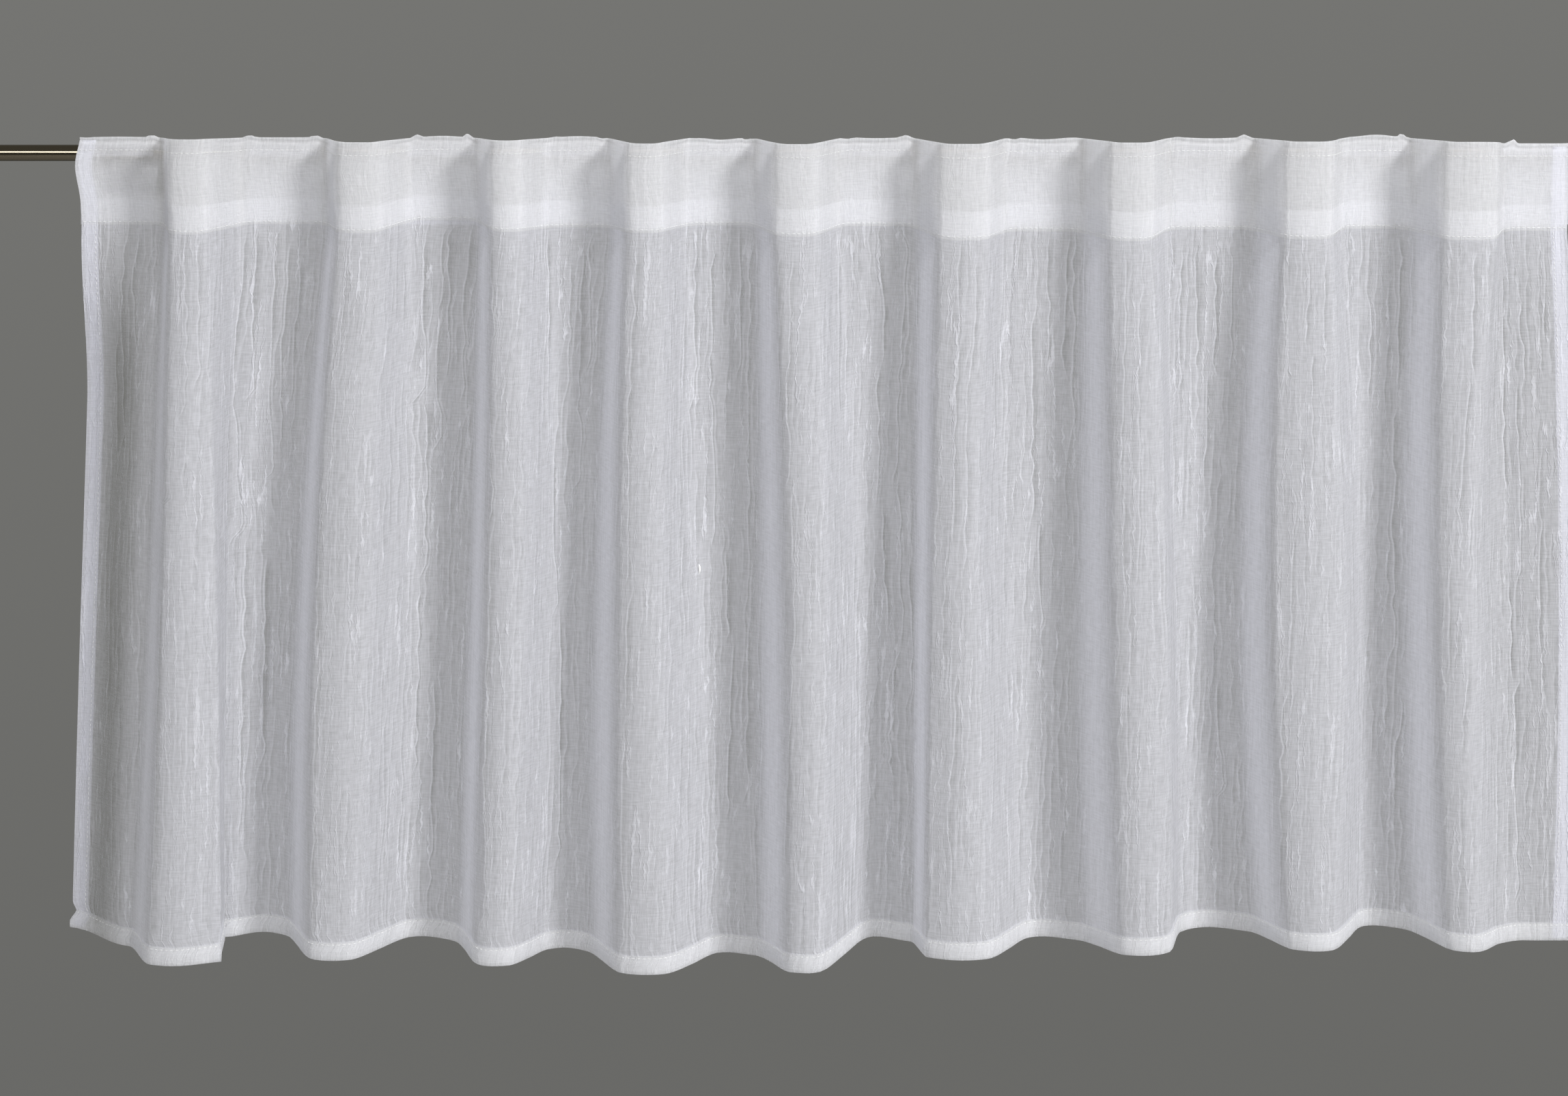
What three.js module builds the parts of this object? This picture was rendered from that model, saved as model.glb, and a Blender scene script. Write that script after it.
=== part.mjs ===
// Cafe curtain on a rod: one sheer panel that hangs in soft folds from a thin rod,
// carried by flat loops sewn to the back of its heading.
// Millimetres. X runs along the rod, Y goes away from the room, Z is up.
// The origin is on the rod's axis at the middle of its length.
import * as THREE from "three";

// Driving dimensions
const gap = 0.3; // left between pieces that touch
const rod = { radius: 5, length: 1016, bevel: 0.6 };
const ply = 1.0; // one layer of cloth
const heading = { top: 9.4, seam: -44.9, thick: 2.4, flank: 16 };
const hem = { bottom: -488, deep: 11.5, thick: 2.6 };
const sideHem = { wide: 10, thick: 2.2 };
const loop = { wide: 45, ply: 1.0, stitch: -2, foot: -33, end: -43.5, overhang: 1.5 };
const panel = {
  lean: 5, // how far the foot swings back from the plane of the heading
  crown: [3.5, 7], // extra roundness of each forward fold at the heading and below it
  belly: 9, // how far the backs of the folds bow at the foot
  skew: [1.15, 0.8], // at the seam and the foot; below 1 the bow is deepest on its left
  soft: 6, // how far beyond a flank the sag of its fold is felt
  turn: 0.7, // width of the step where a hem begins
  middle: 0.4, // height of the "mid" columns below, 0 at the seam and 1 at the hem
};
// How finely each stretch is divided
const steps = {
  sideHem: 2, back: 3, flank: 4, front: 2, heading: 3, body: 8, loopArc: 9, loopReach: 3, rodArc: 16,
};

// One row for each forward fold, left to right.
// rise and fall are the X of its left and right flanks at the heading, part way down and
// at the hem; riseWide and fallWide are the widths of those flanks at the hem, below 0 where
// the fold overhangs the next back; deep is how far the fold stands forward; topSag,
// seamSag and hemSag are how far it hangs below the level lines; nextSeam and nextHem are
// the same for the back section on its right.
const columns = [
  "riseHead", "riseMid", "riseHem", "fallHead", "fallMid", "fallHem", "riseWide", "fallWide",
  "deepHead", "deepHem", "topSag", "seamSag", "hemSag", "nextSeam", "nextHem",
];
const folds = [
  [-395, -405, -423, -360.5, -366, -371, 24, -5, 29, 27, 1.9, 3.8, 6, -1.6, 0],
  [-296, -313, -324, -258, -263, -274, 24, 30, 24, 26, 3.5, 3.1, 3, -4, 3],
  [-204.5, -210, -222, -174, -173, -183, 18, 21, 26, 22, 2.5, 2.3, 8, 0.3, 10.5],
  [-124, -132, -136, -89.5, -88, -82, 24, 33, 27, 23, 4.3, 2.9, 13, -0.9, 13],
  [-36, -32, -32, 2, 10, 13, 24, 32, 25, 26, 4.6, 5.2, 10.5, -0.5, 3],
  [61.5, 60, 59, 103, 103, 115, 9, 30, 25, 24, 4.5, 7.4, 3.5, 2.8, 3],
  [162.5, 164, 171, 201.5, 210, 218, 26, 12, 25, 23, 3.7, 7.8, 1, 1.6, -3],
  [267, 262, 276, 307.5, 319, 324, 20, 30, 24, 25, 3.1, 6.8, -2.5, 1.1, -4],
  [361, 362, 374, 405, 405, 418, 20, 42, 26, 21, 3.3, 7.2, -0.5, 2.4, 2.5],
].map((row) => Object.fromEntries(columns.map((name, i) => [name, row[i]])));

// The two upright edges of the cloth at the same three heights, with the sag of the end
// sections; below the heading the left one curls back to its edge, where flat is the width of
// a flat strip at the seam and the hem
const ends = {
  left: {
    head: -451, mid: -461, hem: -475.5, nextSeam: -1.3, nextHem: 5.5, corner: 1,
    curl: 20, curlBy: 0.25, flat: [6, 0],
  },
  right: { head: 453, mid: 463.5, hem: 467.5, topSag: 3.8 },
};

const mix = (a, b, t) => a + (b - a) * t;
const clamp = (t) => Math.min(1, Math.max(0, t));
const ease = (t) => t * t * (3 - 2 * t);
const hump = (t) => Math.sin(Math.PI * clamp(t)) ** 2;

// Smooth line through three heights of the cloth
function along(head, mid, foot, v) {
  const m = panel.middle;
  return head * (v - m) * (v - 1) / m + mid * v * (1 - v) / (m * (1 - m)) + foot * v * (v - m) / (1 - m);
}
const riseAt = (f, v) => along(f.riseHead, f.riseMid, f.riseHem, v);
const fallAt = (f, v) => along(f.fallHead, f.fallMid, f.fallHem, v);
const edgeAt = (e, v) => along(e.head, e.mid, e.hem, v);

// The folds open out soon below the heading and then hang much the same
const opened = (v) => v * (2 - v);
const riseWideAt = (f, v) => mix(heading.flank, f.riseWide, opened(v));
const fallWideAt = (f, v) => mix(heading.flank, f.fallWide, opened(v));

// Where back section k starts and stops; section 0 starts at the left edge of the cloth
function backSpan(k, v) {
  const before = folds[k - 1];
  const after = folds[k];
  const inset = sideHem.wide + panel.turn;
  const start = before ? fallAt(before, v) + fallWideAt(before, v) / 2 : edgeAt(ends.left, v) + inset;
  const stop = after ? riseAt(after, v) - riseWideAt(after, v) / 2 : edgeAt(ends.right, v) - inset;
  return [start, stop];
}

// Stations across the cloth, left to right: a zone, the fold it belongs to and a place t in the zone
const stations = [];
function addZone(zone, k, count, closed) {
  for (let i = 0; i < count + (closed ? 1 : 0); i += 1) {
    stations.push({ zone, k, t: i / count });
  }
}
addZone("leftHem", 0, steps.sideHem, true);
folds.forEach((fold, k) => {
  addZone("back", k, steps.back, false);
  addZone("rise", k, steps.flank, false);
  addZone("front", k, steps.front, false);
  addZone("fall", k, steps.flank, false);
});
addZone("back", folds.length, steps.back, true);
addZone("rightHem", folds.length, steps.sideHem, true);

// Height v runs 0 at the seam of the heading to 1 at the lower edge; the heading is all 0
const heightOf = (z) => clamp((heading.seam - z) / (heading.seam - hem.bottom));

// X of a station and how far it has gone from the back (0) to the front (1) of its fold
function across({ zone, k, t }, v) {
  const fold = folds[k];
  if (zone === "leftHem") {
    return { x: edgeAt(ends.left, v) + t * sideHem.wide, forward: 0 };
  }
  if (zone === "rightHem") {
    return { x: edgeAt(ends.right, v) - (1 - t) * sideHem.wide, forward: 0 };
  }
  if (zone === "back") {
    const [start, stop] = backSpan(k, v);
    return { x: mix(start, stop, t), forward: 0 };
  }
  const rise = riseAt(fold, v);
  const fall = fallAt(fold, v);
  if (zone === "rise") {
    return { x: rise + (t - 0.5) * riseWideAt(fold, v), forward: ease(t) };
  }
  if (zone === "fall") {
    return { x: fall + (t - 0.5) * fallWideAt(fold, v), forward: 1 - ease(t) };
  }
  const start = rise + riseWideAt(fold, v) / 2;
  const stop = fall - fallWideAt(fold, v) / 2;
  return { x: mix(start, stop, t), forward: 1 };
}

// How far a point hangs below its level line: at the top edge, the seam and the hem
function backSag(k, x) {
  const before = folds[k - 1] ?? ends.left;
  const inner = riseAt(folds[0], 1) - folds[0].riseWide / 2;
  const toEdge = k === 0 ? clamp((inner - x) / (inner - ends.left.hem)) : 0;
  return {
    top: k === folds.length ? ends.right.topSag : 0,
    seam: before.nextSeam,
    foot: mix(before.nextHem, ends.left.corner, toEdge),
  };
}
const frontSag = (fold) => ({ top: fold.topSag, seam: fold.seamSag, foot: fold.hemSag });
function sagAt(sag, z) {
  if (z > heading.seam) {
    return mix(sag.seam, sag.top, (z - heading.seam) / (heading.top - heading.seam));
  }
  return mix(sag.seam, sag.foot, heightOf(z));
}

// How much of a fold's sag is felt at x: all of it on the fold, none a little beyond its flanks
function sagShare(fold, x, v) {
  const riseWide = riseWideAt(fold, v) + 2 * panel.soft;
  const fallWide = fallWideAt(fold, v) + 2 * panel.soft;
  const up = clamp((x - riseAt(fold, v)) / riseWide + 0.5);
  const down = clamp((fallAt(fold, v) - x) / fallWide + 0.5);
  return ease(up) * ease(down);
}

// Point on the front face of the cloth at a station and a level z
const standOff = rod.radius + gap + loop.ply + gap + heading.thick;
function frontPoint(station, z) {
  const v = heightOf(z);
  const { x, forward } = across(station, v);
  const fold = folds[Math.min(station.k, folds.length - 1)];
  const rise = riseAt(fold, v);
  const fall = fallAt(fold, v);
  const backIndex = station.zone === "fall" ? station.k + 1 : station.k;
  let y = panel.lean * v - standOff - mix(fold.deepHead, fold.deepHem, opened(v)) * forward;
  if (x > rise && x < fall) {
    y -= mix(...panel.crown, opened(v)) * hump((x - rise) / (fall - rise)) ** 0.62;
  } else if (folds[backIndex] && folds[backIndex - 1]) {
    const from = fallAt(folds[backIndex - 1], v);
    const to = riseAt(folds[backIndex], v);
    y += panel.belly * opened(v) * hump(clamp((x - from) / (to - from)) ** mix(...panel.skew, v));
  }
  if (backIndex === 0) {
    const inner = backSpan(0, v)[1];
    const toHem = clamp((inner - x) / (inner - edgeAt(ends.left, v) - mix(...ends.left.flat, v)));
    y += ends.left.curl * ease(clamp(v / ends.left.curlBy)) * ease(toHem);
  }
  const resting = sagAt(backSag(backIndex, x), z);
  const drop = (f) => sagShare(f, x, v) * (sagAt(frontSag(f), z) - resting);
  const sag = folds.reduce((sum, f) => sum + drop(f), resting);
  return new THREE.Vector3(x, y, z - sag);
}

// Levels down the cloth with the thickness there; close pairs make the steps at the hems
const hemTop = hem.bottom + hem.deep;
const levels = [];
function addLevels(top, foot, count, thick) {
  for (let i = 0; i <= count; i += 1) {
    levels.push({ z: mix(top, foot, i / count), thick });
  }
}
addLevels(heading.top, heading.seam, steps.heading, heading.thick);
addLevels(heading.seam - panel.turn, hemTop + panel.turn, steps.body, ply);
addLevels(hemTop, hem.bottom, 1, hem.thick);

const atSide = (station) => station.zone === "leftHem" || station.zone === "rightHem";
const thickAt = (level, station) => Math.max(level.thick, atSide(station) ? sideHem.thick : ply);

// The back face lies behind the front one, square to the cloth
const frontGrid = levels.map((level) => stations.map((station) => frontPoint(station, level.z)));
const backGrid = frontGrid.map((row, i) => row.map((p, j) => {
  const before = row[Math.max(0, j - 1)];
  const after = row[Math.min(row.length - 1, j + 1)];
  const run = new THREE.Vector2(after.x - before.x, after.y - before.y).normalize();
  const thick = thickAt(levels[i], stations[j]);
  return new THREE.Vector3(p.x - run.y * thick, p.y + run.x * thick, p.z);
}));

// Closed solid between two grids of points, rows downward and columns to the right as seen from -Y
function solidBetween(front, back) {
  const rows = front.length;
  const cols = front[0].length;
  const points = [...front.flat(), ...back.flat()];
  const at = (i, j, side) => side * rows * cols + i * cols + j;
  const faces = [];
  const quad = (a, b, c, d) => faces.push(a, b, c, a, c, d);
  for (let i = 0; i + 1 < rows; i += 1) {
    for (let j = 0; j + 1 < cols; j += 1) {
      quad(at(i, j, 0), at(i + 1, j, 0), at(i + 1, j + 1, 0), at(i, j + 1, 0));
      quad(at(i, j, 1), at(i, j + 1, 1), at(i + 1, j + 1, 1), at(i + 1, j, 1));
    }
  }
  for (let j = 0; j + 1 < cols; j += 1) {
    quad(at(0, j, 0), at(0, j + 1, 0), at(0, j + 1, 1), at(0, j, 1));
    quad(at(rows - 1, j, 0), at(rows - 1, j, 1), at(rows - 1, j + 1, 1), at(rows - 1, j + 1, 0));
  }
  for (let i = 0; i + 1 < rows; i += 1) {
    quad(at(i, 0, 0), at(i, 0, 1), at(i + 1, 0, 1), at(i + 1, 0, 0));
    quad(at(i, cols - 1, 0), at(i + 1, cols - 1, 0), at(i + 1, cols - 1, 1), at(i, cols - 1, 1));
  }
  const geometry = new THREE.BufferGeometry().setFromPoints(points);
  geometry.setIndex(faces);
  geometry.computeVertexNormals();
  return geometry;
}

// Y of the back of the heading at x, read off its back face between two stations
const headingBack = backGrid[0];
function headingDepth(x) {
  const passed = headingBack.filter((p) => p.x <= x).length;
  const j = Math.min(headingBack.length - 1, Math.max(1, passed));
  const a = headingBack[j - 1];
  const b = headingBack[j];
  return mix(a.y, b.y, clamp((x - a.x) / (b.x - a.x)));
}

// Path of a loop as seen from its end: up between heading and rod, over the rod and down
// behind it, then forward to lie on the heading above its seam. hold is 1 where the loop
// is sewn down and follows the heading's folds, 0 where it is drawn straight by the rod.
function loopPath(radius) {
  const path = [{ y: -radius, z: loop.stitch, hold: 1 }];
  // At the foot the face that looked at the rod looks at the heading
  const footY = radius - 2 * (rod.radius + gap) - loop.ply;
  // The loop leaves the rod where a line from its foot touches the circle behind
  const leave = Math.atan2(loop.foot, footY) + Math.acos(radius / Math.hypot(loop.foot, footY));
  for (let i = 0; i <= steps.loopArc; i += 1) {
    const a = mix(Math.PI, leave, i / steps.loopArc);
    const hold = ease(clamp(2 * a / Math.PI - 1));
    path.push({ y: radius * Math.cos(a), z: radius * Math.sin(a), hold });
  }
  const last = path[path.length - 1];
  for (let i = 1; i <= steps.loopReach; i += 1) {
    const t = i / steps.loopReach;
    path.push({ y: mix(last.y, footY, t), z: mix(last.z, loop.foot, t), hold: ease(t) });
  }
  path.push({ y: footY, z: loop.end, hold: 1 });
  return path;
}

// One loop from x = left to x = right. It bends across where the heading bends, so that
// the two stay parallel where the loop is sewn down.
function loopSolid(left, right) {
  const inner = rod.radius + gap;
  const outer = inner + loop.ply;
  const bends = headingBack.map((p) => p.x).filter((x) => x > left + gap && x < right - gap);
  const places = [left, ...bends, right];
  const grid = (radius) => loopPath(radius).map(({ y, z, hold }) => places.map((x) => {
    const slope = headingDepth(x + gap) - headingDepth(x - gap);
    const clear = Math.hypot(gap, slope / 2);
    const follow = Math.min(0, headingDepth(x) + outer + clear);
    return new THREE.Vector3(x, y + hold * follow, z);
  }));
  return solidBetween(grid(inner), grid(outer));
}

const curtain = new THREE.Group();
curtain.name = "cafe_curtain_on_rod";

const clothMaterial = new THREE.MeshStandardMaterial({ color: 0xeceef0, roughness: 0.9, metalness: 0 });
clothMaterial.name = "voile";
const steelMaterial = new THREE.MeshStandardMaterial({ color: 0xb9b6b0, roughness: 0.28, metalness: 1 });
steelMaterial.name = "steel";

function addPiece(name, geometry, material) {
  const piece = new THREE.Mesh(geometry, material);
  piece.name = name;
  curtain.add(piece);
}

addPiece("panel", solidBetween(frontGrid, backGrid), clothMaterial);

// A loop behind each back section of the heading; the end ones are flush with the edges
for (let k = 0; k <= folds.length; k += 1) {
  const [start, stop] = backSpan(k, 0);
  let left = (start + stop - loop.wide) / 2;
  if (k === 0) {
    left = ends.left.head - loop.overhang;
  } else if (k === folds.length) {
    left = ends.right.head + loop.overhang - loop.wide;
  }
  addPiece(`loop_${String(k + 1).padStart(2, "0")}`, loopSolid(left, left + loop.wide), clothMaterial);
}

// The rod, bevelled at both ends
const section = new THREE.Shape().absarc(0, 0, rod.radius, 0, Math.PI * 2);
const rodGeometry = new THREE.ExtrudeGeometry(section, {
  depth: rod.length - 2 * rod.bevel,
  curveSegments: steps.rodArc,
  bevelEnabled: true,
  bevelSegments: 1,
  bevelThickness: rod.bevel,
  bevelSize: rod.bevel,
  bevelOffset: -rod.bevel,
});
rodGeometry.rotateY(Math.PI / 2).translate(-rod.length / 2 + rod.bevel, 0, 0);
addPiece("rod", rodGeometry, steelMaterial);

export default curtain;
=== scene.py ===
import math

import bpy
import numpy as np
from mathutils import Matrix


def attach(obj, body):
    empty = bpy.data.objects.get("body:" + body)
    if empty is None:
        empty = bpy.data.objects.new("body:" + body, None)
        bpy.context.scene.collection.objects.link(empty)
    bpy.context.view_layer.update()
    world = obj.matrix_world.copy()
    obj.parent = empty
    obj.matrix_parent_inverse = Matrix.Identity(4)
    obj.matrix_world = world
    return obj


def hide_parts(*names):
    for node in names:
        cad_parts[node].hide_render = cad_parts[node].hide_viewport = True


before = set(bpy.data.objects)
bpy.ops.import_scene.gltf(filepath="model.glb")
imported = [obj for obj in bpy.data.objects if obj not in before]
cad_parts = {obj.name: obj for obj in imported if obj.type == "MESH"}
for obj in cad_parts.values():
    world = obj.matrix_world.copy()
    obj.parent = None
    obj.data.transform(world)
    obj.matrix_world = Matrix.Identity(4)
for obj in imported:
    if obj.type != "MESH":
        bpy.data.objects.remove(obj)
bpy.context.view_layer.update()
print("frame loaded,", len(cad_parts), "nodes")

mm = 0.001  # sizes of the curtain are in millimetres, meshes in metres

# Sizes that the whole curtain shares with its solids
cloth = {
    "flatWide": 1200.0,  # width of the cloth before it was gathered
    "standOff": 9.0,     # how far the backs of the folds hang in front of the rod's axis
    "lean": 5.0,         # how far the foot swings back from the plane of the heading
    "crown": (3.5, 7.0),  # extra roundness of each forward fold at the heading and below it
    "crownFull": 0.62,   # 1 is a plain hump, less is a fuller one
    "belly": 9.0,        # how far the backs of the folds bow at the foot
    "skew": (1.15, 0.8),  # at the seam and the foot; below 1 the bow is deepest on its left
    "soft": 6.0,         # how far beyond a flank the sag of its fold is felt
    "under": (8.0, 10.0),  # a flank narrower than this turns under, and how gradually it starts to
    "middle": 0.4,       # height of the "Mid" columns, 0 at the seam and 1 at the foot
    "layer": 0.7,        # distance between layers that are sewn together
    "stations": 18,      # points on each stretch of a fold when its line is worked out
}
headingSize = {"top": 9.4, "seam": -44.9, "flank": 16.0, "thick": 2.4}
hemSize = {"foot": -488.0, "deep": 11.5}
hemTop = hemSize["foot"] + hemSize["deep"]

# One row for each forward fold, left to right. rise and fall are the X of its flanks at the
# heading, part way down and at the foot, Wide their widths at the foot, below 0 where the fold
# overhangs, deep how far it stands forward, Sag how far it hangs below the level lines at the
# top, seam and foot, and next the same for the back on its right.
foldColumns = (
    "riseHead", "riseMid", "riseHem", "fallHead", "fallMid", "fallHem", "riseWide", "fallWide",
    "deepHead", "deepHem", "topSag", "seamSag", "hemSag", "nextSeam", "nextHem",
)
foldRows = [
    (-395, -405, -423, -360.5, -366, -371, 24, -5, 29, 27, 1.9, 3.8, 6, -1.6, 0),
    (-296, -313, -324, -258, -263, -274, 24, 30, 24, 26, 3.5, 3.1, 3, -4, 3),
    (-204.5, -210, -222, -174, -173, -183, 18, 21, 26, 22, 2.5, 2.3, 8, 0.3, 10.5),
    (-124, -132, -136, -89.5, -88, -82, 24, 33, 27, 23, 4.3, 2.9, 13, -0.9, 13),
    (-36, -32, -32, 2, 10, 13, 24, 32, 25, 26, 4.6, 5.2, 10.5, -0.5, 3),
    (61.5, 60, 59, 103, 103, 115, 9, 30, 25, 24, 4.5, 7.4, 3.5, 2.8, 3),
    (162.5, 164, 171, 201.5, 210, 218, 26, 12, 25, 23, 3.7, 7.8, 1, 1.6, -3),
    (267, 262, 276, 307.5, 319, 324, 20, 30, 24, 25, 3.1, 6.8, -2.5, 1.1, -4),
    (361, 362, 374, 405, 405, 418, 20, 42, 26, 21, 3.3, 7.2, -0.5, 2.4, 2.5),
]
fold = dict(zip(foldColumns, np.array(foldRows, float).T))
foldCount = len(foldRows)
leftEdge = {
    "line": (-451, -461, -475.5), "nextSeam": -1.3, "nextHem": 5.5, "corner": 1.0,
    "curl": 20.0, "curlBy": 0.25,                       # the cloth curls back to its edge
    "flat": (6.0, 0.0),                                 # flat strip there at the seam and the foot
    "sheer": 1.5,                                       # painted shade: how much thinner, so darker, the curled cloth is made
    "roll": (10.0, 5.0), "rollTop": (5.0, 4.0),         # rolled edges of the heading's end, and their blend
    "thin": 0.9, "thinFrom": (0.3, 0.08),               # painted shade: how much thinner, so darker, it is made inside them, and from what height
    "bulge": 3.2, "bulgeWide": 16.0, "bulgeHigh": 1.7,  # the heading swells past the edge below it
    "notch": 2.6, "notchAt": -476.5, "notchTall": 3.0,  # the corner is drawn in by its sewing
    "block": 1.4, "blockTall": 4.0,                     # and stands out below it
}
# The last back is made thinner, so darker, as painted shade: by how much, and over what share of the height
# below the seam it comes in
rightEdge = {"line": (453, 463.5, 467.5), "topSag": 3.8, "thin": 0.25, "thinBy": 0.1}

# Lift of the top edge at the left end, the middle and the right end of each back
frillRows = [
    (-0.3, 0.3, 1.6), (1.4, -0.1, 1.5), (2.0, 0.8, 2.4), (0.4, 0.6, -0.8), (-0.5, -1.5, -1.3),
    (-1.0, -0.6, 1.6), (-1.3, -1.3, -0.1), (0.3, -0.7, 2.0), (0.3, 1.5, 2.4), (2.9, 0.0, 0.3),
]
frill = {
    "tall": 9.0, "ear": 0.18,                          # height it grows over, and share of a back in an ear
    "line": 2.7, "lineWide": 0.9, "lineDeep": 0.8,     # dent below the top edge
    "lineWander": (0.7, 16.0),                         # how far the dent strays, and over what width
}


def mix(a, b, t):
    return a + (b - a) * t


def ease(t):
    t = np.clip(t, 0, 1)
    return t * t * (3 - 2 * t)


def hump(t):
    return np.sin(np.pi * np.clip(t, 0, 1)) ** 2


def bell(t):
    return np.exp(-t * t)


# Smooth line through a head, a middle and a foot: the parabola through the three
def along(head, mid, foot, v):
    m = cloth["middle"]
    upper = head * (v - m) * (v - 1) / m + mid * v * (1 - v) / (m * (1 - m))
    return upper + foot * v * (v - m) / (1 - m)


# The hanging cloth's line across at each level, left to right. Backs bow away, flanks ease
# forward and back again, fronts are crowned, and each point hangs below its level by the sag
# of its back, with more and more of its fold's own sag toward the front.
def section(level):
    top, seam = headingSize["top"], headingSize["seam"]
    v = np.clip((seam - level) / (seam - hemSize["foot"]), 0, 1)[:, None]
    up = np.clip((level - seam) / (top - seam), 0, 1)[:, None]
    opened = v * (2 - v)
    rise = along(fold["riseHead"], fold["riseMid"], fold["riseHem"], v)
    fall = along(fold["fallHead"], fold["fallMid"], fold["fallHem"], v)
    riseWide = mix(headingSize["flank"], fold["riseWide"], opened)
    fallWide = mix(headingSize["flank"], fold["fallWide"], opened)
    deep = mix(fold["deepHead"], fold["deepHem"], opened)
    left = along(*leftEdge["line"], v)
    right = along(*rightEdge["line"], v)
    start = np.hstack([left, fall + fallWide / 2])
    stop = np.hstack([rise - riseWide / 2, right])

    t = np.linspace(0, 1, cloth["stations"], endpoint=False)[None]
    none = np.zeros((len(level), t.size))
    stretches = []  # x, forward, steep flank, lift of the top edge, fold, back
    for k in range(foldCount + 1):
        at = slice(k, k + 1)
        earLeft, middle, earRight = frillRows[k]
        ears = earLeft * hump(t / frill["ear"]) + earRight * hump((1 - t) / frill["ear"])
        lift = none + ears + middle * hump(t)
        back = mix(start[:, at], stop[:, at], t)
        stretches.append((back, none, none, lift, min(k, foldCount - 1), k))
        if k < foldCount:
            rising = rise[:, at] + (t - 0.5) * riseWide[:, at]
            front = mix((rise + riseWide / 2)[:, at], (fall - fallWide / 2)[:, at], t)
            falling = fall[:, at] + (t - 0.5) * fallWide[:, at]
            stretches.append((rising, none + ease(t), none + hump(t), none, k, k))
            stretches.append((front, none + 1, none, none, k, np.where(t[0] < 0.5, k, k + 1)))
            stretches.append((falling, none + 1 - ease(t), none, none, k, k + 1))
    x, forward, flank, lift = (np.hstack([s[i] for s in stretches]) for i in range(4))
    ofFold, ofBack = (np.hstack([np.broadcast_to(s[i], t.size) for s in stretches]) for i in (4, 5))

    y = cloth["lean"] * v - cloth["standOff"] - deep[:, ofFold] * forward
    crowned = hump((x - rise[:, ofFold]) / (fall - rise)[:, ofFold]) ** cloth["crownFull"]
    y = y - mix(*cloth["crown"], opened) * crowned
    backFrom = np.hstack([left, fall])[:, ofBack]
    backTo = np.hstack([rise, right])[:, ofBack]
    between = (ofBack > 0) & (ofBack < foldCount)
    part = np.clip((x - backFrom) / (backTo - backFrom), 0, 1)
    y = y + cloth["belly"] * opened * between * hump(part ** mix(*cloth["skew"], v))

    inner = stop[:, :1]
    toHem = (ofBack == 0) * (inner - x) / (inner - left - mix(*leftEdge["flat"], v))
    y = y + leftEdge["curl"] * ease(v / leftEdge["curlBy"]) * ease(toHem)

    inner = fold["riseHem"][0] - fold["riseWide"][0] / 2
    toCorner = (ofBack == 0) * np.clip((inner - x) / (inner - leftEdge["line"][2]), 0, 1)
    backSeam = np.hstack([leftEdge["nextSeam"], fold["nextSeam"]])[ofBack]
    backFoot = np.hstack([leftEdge["nextHem"], fold["nextHem"]])[ofBack]
    backFoot = mix(backFoot, leftEdge["corner"], toCorner)
    backTop = np.where(ofBack == foldCount, rightEdge["topSag"], 0)
    backSag = backSeam + up * (backTop - backSeam) + v * (backFoot - backSeam)
    seamSag, topSag, hemSag = (fold[name] for name in ("seamSag", "topSag", "hemSag"))
    frontSag = seamSag + up * (topSag - seamSag) + v * (hemSag - seamSag)
    # A fold's sag comes in over its rising flank and goes over its falling one, by X, or by how
    # far forward the cloth is where the falling flank turns under (it is the last of four stretches)
    onFold = ease((x[..., None] - rise[:, None]) / (riseWide + 2 * cloth["soft"])[:, None] + 0.5)
    offFold = ease((fall[:, None] - x[..., None]) / (fallWide + 2 * cloth["soft"])[:, None] + 0.5)
    stretchOf = np.repeat(np.arange(len(stretches)), t.size)[:, None]
    fallAt = 4 * np.arange(foldCount) + 3
    turned = np.where(stretchOf == fallAt, forward[..., None], stretchOf < fallAt)
    narrow, gradual = cloth["under"]
    onFold = onFold * mix(offFold, turned, ease((narrow - fallWide) / gradual)[:, None])
    sag = backSag + (onFold * (frontSag[:, None] - backSag[..., None])).sum(axis=-1)
    aloft = ease((level - top + frill["tall"]) / frill["tall"])[:, None]
    z = level[:, None] - sag + lift * aloft

    # The left end swells at the heading and is drawn in at the corner
    nearEdge = (ofBack == 0) * ease(1 - (x - left) / leftEdge["bulgeWide"])
    below = level[:, None] - leftEdge["notchAt"]
    notchTall = leftEdge["notchTall"]
    drawn = leftEdge["notch"] * bell(below / notchTall)
    drawn = drawn - leftEdge["block"] * ease(-(below + notchTall) / leftEdge["blockTall"])
    x = x + nearEdge * (drawn - leftEdge["bulge"] * hump(up ** leftEdge["bulgeHigh"]))

    step = np.hypot(np.diff(x, axis=1), np.diff(y, axis=1))
    length = np.cumsum(np.pad(step, ((0, 0), (1, 0))), axis=1)
    runX = np.gradient(x, axis=1)
    runY = np.gradient(y, axis=1)
    run = np.hypot(runX, runY)

    # How thin the cloth is made, as painted shade that darkens it: where it curls at the left, inside the
    # rolled edges of the heading's left end, and on the last back
    sheer = leftEdge["sheer"] * (ofBack == 0) * (forward == 0) * ease(v / leftEdge["curlBy"]) * hump(toHem)
    roll, blend = leftEdge["roll"]
    inside = (ofBack == 0) * ease((x - left - roll) / blend) * (1 - ease(forward * 2))
    roll, blend = leftEdge["rollTop"]
    inside = inside * ease((top - roll - level[:, None]) / blend)
    # Painted shade inside the rolled edges of the heading's left end
    low, blend = leftEdge["thinFrom"]
    sheer = sheer + leftEdge["thin"] * inside * ease((up - low) / blend)
    # Painted shade on the last back
    onLast = (ofBack == foldCount) * (1 - forward) * ease(v / rightEdge["thinBy"])
    sheer = sheer + rightEdge["thin"] * onLast
    return {
        "across": cloth["flatWide"] * length / length[:, -1:],
        "x": x, "y": y, "z": z, "forward": forward, "flank": flank, "sheer": sheer,
        "behindX": -runY / run, "behindY": runX / run,
    }


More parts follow.
